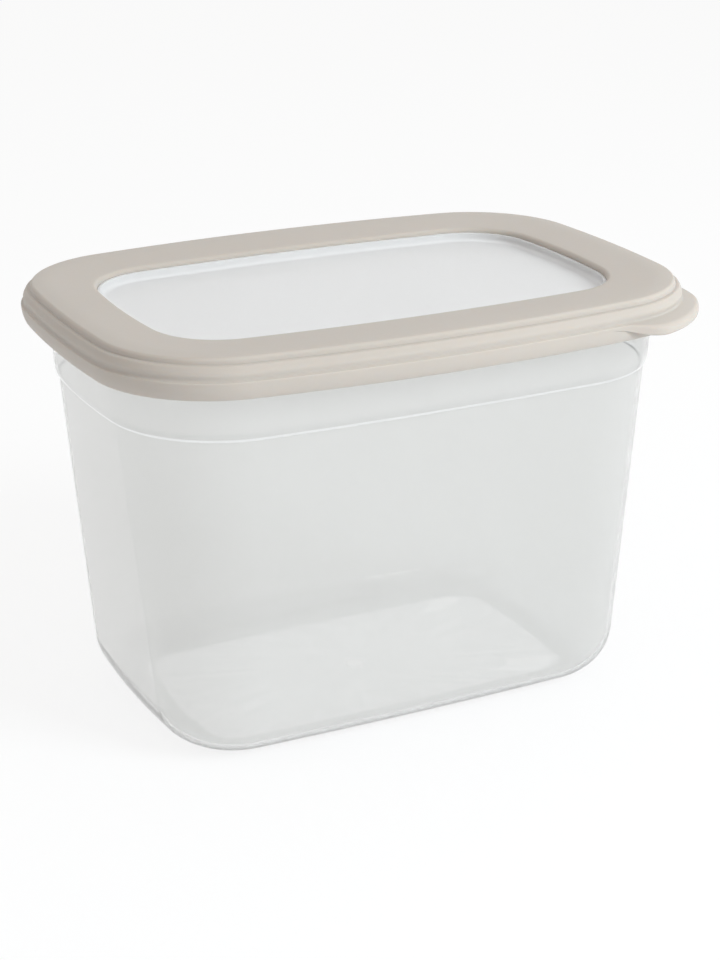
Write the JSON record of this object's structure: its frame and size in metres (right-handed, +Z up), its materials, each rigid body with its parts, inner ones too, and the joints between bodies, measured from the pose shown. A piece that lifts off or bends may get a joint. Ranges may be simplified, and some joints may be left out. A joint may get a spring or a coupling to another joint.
{
  "type": "food storage container",
  "caption": "Rounded rectangular food storage container: clear tub, shut press-fit lid with stepped taupe frame, corner finger tab and clear window panel.",
  "frame": {"origin": "middle of the flat underside, which stands on the table", "axes": "+Z up; X along the long sides; the finger tab is on the corner towards +X and -Y"},
  "size_m": [0.2027, 0.1414, 0.1383],
  "materials": {
    "tub": "clear, slightly milky polypropylene",
    "lid_frame": "satin taupe polypropylene",
    "lid_window": "clear, slightly milky polypropylene"
  },
  "bodies": {
    "root": {"tub": "tub", "lid_frame": "lid_frame", "lid_window": "lid_window"}
  },
  "joints": []
}
